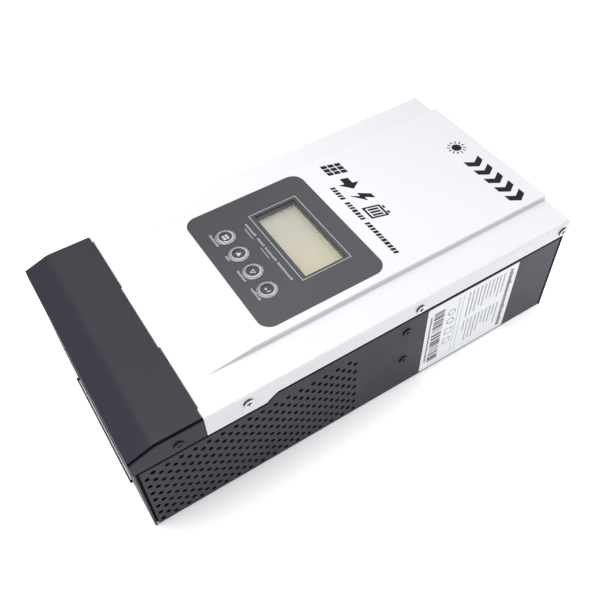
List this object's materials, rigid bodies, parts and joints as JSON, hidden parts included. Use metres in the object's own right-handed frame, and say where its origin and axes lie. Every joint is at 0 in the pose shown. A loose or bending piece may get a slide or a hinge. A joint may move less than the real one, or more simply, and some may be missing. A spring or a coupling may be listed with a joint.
{
  "type": "charge controller",
  "caption": "Flat sheet-metal wall box with a raised silver front cover, sloped dark terminal cover, perforated sides, and a rounded control panel with display window and round push buttons.",
  "frame": {"origin": "centre of the bounding box at the back face, which lies on the wall or the table", "axes": "+Z is the outward normal of the front, X runs along the length with the terminal end at -X and the fan end at +X, -Y is the side with the rating label"},
  "size_m": [0.319, 0.1674, 0.0926],
  "materials": {
    "black_powder_coat": "fine-textured satin powder coat",
    "silver_white_paint": "satin silver-white paint",
    "grey_overlay": "satin printed membrane",
    "clear_lens": "clear polycarbonate",
    "black_bezel": "moulded black",
    "display_glass": "reflective grey-green liquid crystal cell",
    "backlight_white": "diffusing white",
    "circuit_board": "green solder mask",
    "button_grey": "satin light grey ring, dark centre",
    "switch_black": "moulded black",
    "zinc_steel": "bright zinc plate",
    "black_screw": "black oxide",
    "label_white": "printed self-adhesive film",
    "rubber_trim": "moulded rubber",
    "standoff_brass": "turned brass",
    "insulation_film": "translucent film",
    "terminal_plastic": "glass-filled moulding",
    "ferrite": "coated powder core",
    "copper_wire": "enamelled copper",
    "capacitor_sleeve": "heat-shrink sleeve",
    "relay_case": "sealed plastic case",
    "fuse_plastic": "tinted fuse body",
    "plain_aluminium": "extruded, plain",
    "transistor_epoxy": "moulded epoxy",
    "galvanised_sheet": "galvanised sheet",
    "fan_plastic": "moulded black",
    "ribbon_grey": "flat ribbon insulation"
  },
  "bodies": {
    "housing": {"base_tray": "black_powder_coat", "terminal_end_panel": "black_powder_coat", "fan_end_panel": "black_powder_coat", "terminal_cover": "black_powder_coat", "front_cover": "silver_white_paint", "control_overlay": "grey_overlay", "display_lens": "clear_lens", "display_bezel": "black_bezel", "lcd_glass": "display_glass", "lcd_backlight": "backlight_white", "display_board": "circuit_board", "main_board": "circuit_board", "switch_bodies": "switch_black", "data_socket": "switch_black", "ribbon_headers": "switch_black", "cover_screws": "zinc_steel", "clinch_nuts": "zinc_steel", "display_board_screws": "zinc_steel", "main_board_screws": "zinc_steel", "terminal_screws": "zinc_steel", "transistor_clamps": "zinc_steel", "fan_screws": "zinc_steel", "terminal_cover_screws": "black_screw", "bracket_screws": "black_screw", "rating_label": "label_white", "cable_slot_trim": "rubber_trim", "board_standoffs": "standoff_brass", "terminal_bars": "standoff_brass", "terminal_clamps": "standoff_brass", "insulation_sheet": "insulation_film", "terminal_block": "terminal_plastic", "inductor_cores": "ferrite", "inductor_windings": "copper_wire", "current_shunt": "copper_wire", "input_capacitors": "capacitor_sleeve", "output_capacitors": "capacitor_sleeve", "relay": "relay_case", "fuses": "fuse_plastic", "heat_sink_near": "plain_aluminium", "heat_sink_far": "plain_aluminium", "power_transistors": "transistor_epoxy", "air_baffle": "galvanised_sheet", "fan_frame_near": "fan_plastic", "fan_frame_far": "fan_plastic", "ribbon_cable": "ribbon_grey"},
    "button_1": {"button_cap_1": "button_grey", "switch_plunger_1": "switch_black"},
    "button_2": {"button_cap_2": "button_grey", "switch_plunger_2": "switch_black"},
    "button_3": {"button_cap_3": "button_grey", "switch_plunger_3": "switch_black"},
    "button_4": {"button_cap_4": "button_grey", "switch_plunger_4": "switch_black"},
    "fan_near": {"fan_rotor_near": "fan_plastic"},
    "fan_far": {"fan_rotor_far": "fan_plastic"}
  },
  "joints": [
    {"name": "button_1_press", "type": "slide", "parent": "housing", "child": "button_1", "axis": [0, 0, -1], "range_m": [0, 0.0005], "stiffness_N_per_m": 1500, "springref_m": -0.0004},
    {"name": "button_2_press", "type": "slide", "parent": "housing", "child": "button_2", "axis": [0, 0, -1], "range_m": [0, 0.0005], "stiffness_N_per_m": 1500, "springref_m": -0.0004},
    {"name": "button_3_press", "type": "slide", "parent": "housing", "child": "button_3", "axis": [0, 0, -1], "range_m": [0, 0.0005], "stiffness_N_per_m": 1500, "springref_m": -0.0004},
    {"name": "button_4_press", "type": "slide", "parent": "housing", "child": "button_4", "axis": [0, 0, -1], "range_m": [0, 0.0005], "stiffness_N_per_m": 1500, "springref_m": -0.0004},
    {"name": "fan_near_spin", "type": "hinge", "parent": "housing", "child": "fan_near", "pos_m": [0.15585, -0.037, 0.038], "axis": [1, 0, 0], "continuous": true},
    {"name": "fan_far_spin", "type": "hinge", "parent": "housing", "child": "fan_far", "pos_m": [0.15585, 0.037, 0.038], "axis": [1, 0, 0], "continuous": true}
  ]
}
